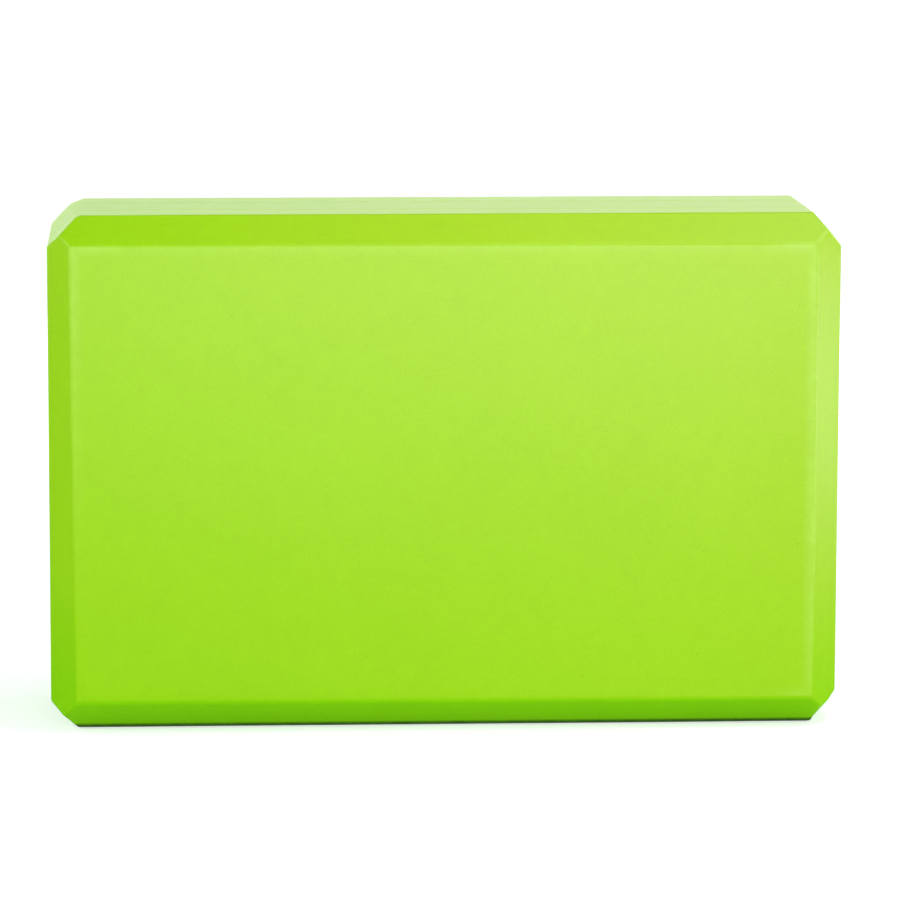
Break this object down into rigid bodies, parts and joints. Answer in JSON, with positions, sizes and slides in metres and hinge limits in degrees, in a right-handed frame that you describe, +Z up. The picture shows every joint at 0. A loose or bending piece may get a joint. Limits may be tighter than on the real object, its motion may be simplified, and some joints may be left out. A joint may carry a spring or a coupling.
{
  "type": "yoga block",
  "caption": "Rectangular closed-cell foam block with bevelled edges, glued up from foam sheets, that supports a hand, foot or hip on the floor at any of its heights.",
  "frame": {"origin": "under the middle of the block, on the surface that it stands on", "axes": "+X along the length, +Y through the thickness from the front face to the back face, +Z up along the height"},
  "size_m": [0.23, 0.0754, 0.15],
  "materials": {
    "foam": "lime green closed-cell foam, fine satin skin on the broad faces and matt on the cut faces",
    "glue": "cured contact adhesive film, pressed thin and cut flush with the foam"
  },
  "bodies": {
    "root": {"front_foam_layer": "foam", "middle_foam_layer": "foam", "back_foam_layer": "foam", "front_glue_film": "glue", "back_glue_film": "glue"}
  },
  "joints": []
}
